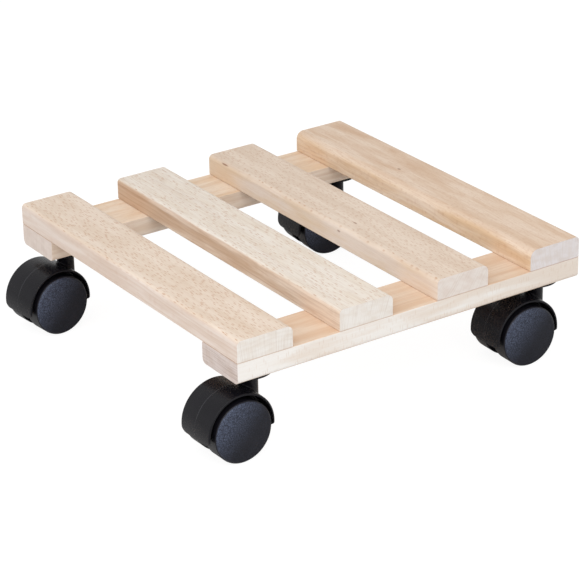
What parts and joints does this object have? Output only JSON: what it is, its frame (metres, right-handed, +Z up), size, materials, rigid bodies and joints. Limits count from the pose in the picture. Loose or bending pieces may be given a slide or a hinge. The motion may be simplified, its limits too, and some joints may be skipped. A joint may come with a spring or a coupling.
{
  "type": "plant caddy",
  "caption": "Square slatted wooden plant caddy: slats across two rails on hooded twin-wheel swivel casters at the corners.",
  "frame": {"origin": "on the floor, below the middle of the caddy's bounding box", "axes": "+Z up from the floor; +X along the two rails, away from the edge that the casters trail past; +Y along the four slats, away from the front"},
  "size_m": [0.313, 0.2912, 0.0913],
  "materials": {
    "beech": "planed, oiled",
    "steel": "zinc plated",
    "black_plastic": "satin moulded",
    "wheel_plastic": "fine grained"
  },
  "bodies": {
    "deck": {"slat_1": "beech", "slat_2": "beech", "slat_3": "beech", "slat_4": "beech", "rail_front": "beech", "rail_back": "beech", "slat_screws_front": "steel", "slat_screws_back": "steel", "front_left_plate": "black_plastic", "front_left_plate_screws": "steel", "front_left_pin": "steel", "front_left_pin_ring": "steel", "back_left_plate": "black_plastic", "back_left_plate_screws": "steel", "back_left_pin": "steel", "back_left_pin_ring": "steel", "front_right_plate": "black_plastic", "front_right_plate_screws": "steel", "front_right_pin": "steel", "front_right_pin_ring": "steel", "back_right_plate": "black_plastic", "back_right_plate_screws": "steel", "back_right_pin": "steel", "back_right_pin_ring": "steel"},
    "front_left_caster": {"front_left_hood": "black_plastic", "front_left_axle": "steel"},
    "back_left_caster": {"back_left_hood": "black_plastic", "back_left_axle": "steel"},
    "front_right_caster": {"front_right_hood": "black_plastic", "front_right_axle": "steel"},
    "back_right_caster": {"back_right_hood": "black_plastic", "back_right_axle": "steel"},
    "front_left_left_wheel": {"front_left_wheel_left": "wheel_plastic"},
    "front_left_right_wheel": {"front_left_wheel_right": "wheel_plastic"},
    "back_left_left_wheel": {"back_left_wheel_left": "wheel_plastic"},
    "back_left_right_wheel": {"back_left_wheel_right": "wheel_plastic"},
    "front_right_left_wheel": {"front_right_wheel_left": "wheel_plastic"},
    "front_right_right_wheel": {"front_right_wheel_right": "wheel_plastic"},
    "back_right_left_wheel": {"back_right_wheel_left": "wheel_plastic"},
    "back_right_right_wheel": {"back_right_wheel_right": "wheel_plastic"}
  },
  "joints": [
    {"name": "front_left_swivel", "type": "hinge", "parent": "deck", "child": "front_left_caster", "pos_m": [-0.1118, -0.1235, 0.0559], "axis": [0, 0, 1], "continuous": true},
    {"name": "front_left_left_wheel_spin", "type": "hinge", "parent": "front_left_caster", "child": "front_left_left_wheel", "pos_m": [-0.1292, -0.1238, 0.0225], "axis": [-0.0175, 0.9998, 0], "continuous": true},
    {"name": "front_left_right_wheel_spin", "type": "hinge", "parent": "front_left_caster", "child": "front_left_right_wheel", "pos_m": [-0.1292, -0.1238, 0.0225], "axis": [-0.0175, 0.9998, 0], "continuous": true},
    {"name": "back_left_swivel", "type": "hinge", "parent": "deck", "child": "back_left_caster", "pos_m": [-0.1118, 0.1235, 0.0559], "axis": [0, 0, 1], "continuous": true},
    {"name": "back_left_left_wheel_spin", "type": "hinge", "parent": "back_left_caster", "child": "back_left_left_wheel", "pos_m": [-0.12913, 0.12198, 0.0225], "axis": [-0.0872, 0.9962, 0], "continuous": true},
    {"name": "back_left_right_wheel_spin", "type": "hinge", "parent": "back_left_caster", "child": "back_left_right_wheel", "pos_m": [-0.12913, 0.12198, 0.0225], "axis": [-0.0872, 0.9962, 0], "continuous": true},
    {"name": "front_right_swivel", "type": "hinge", "parent": "deck", "child": "front_right_caster", "pos_m": [0.1338, -0.1235, 0.0559], "axis": [0, 0, 1], "continuous": true},
    {"name": "front_right_left_wheel_spin", "type": "hinge", "parent": "front_right_caster", "child": "front_right_left_wheel", "pos_m": [0.11641, -0.12289, 0.0225], "axis": [0.0349, 0.9994, 0], "continuous": true},
    {"name": "front_right_right_wheel_spin", "type": "hinge", "parent": "front_right_caster", "child": "front_right_right_wheel", "pos_m": [0.11641, -0.12289, 0.0225], "axis": [0.0349, 0.9994, 0], "continuous": true},
    {"name": "back_right_swivel", "type": "hinge", "parent": "deck", "child": "back_right_caster", "pos_m": [0.1338, 0.1235, 0.0559], "axis": [0, 0, 1], "continuous": true},
    {"name": "back_right_left_wheel_spin", "type": "hinge", "parent": "back_right_caster", "child": "back_right_left_wheel", "pos_m": [0.11644, 0.12471, 0.0225], "axis": [0.0698, 0.9976, 0], "continuous": true},
    {"name": "back_right_right_wheel_spin", "type": "hinge", "parent": "back_right_caster", "child": "back_right_right_wheel", "pos_m": [0.11644, 0.12471, 0.0225], "axis": [0.0698, 0.9976, 0], "continuous": true}
  ]
}
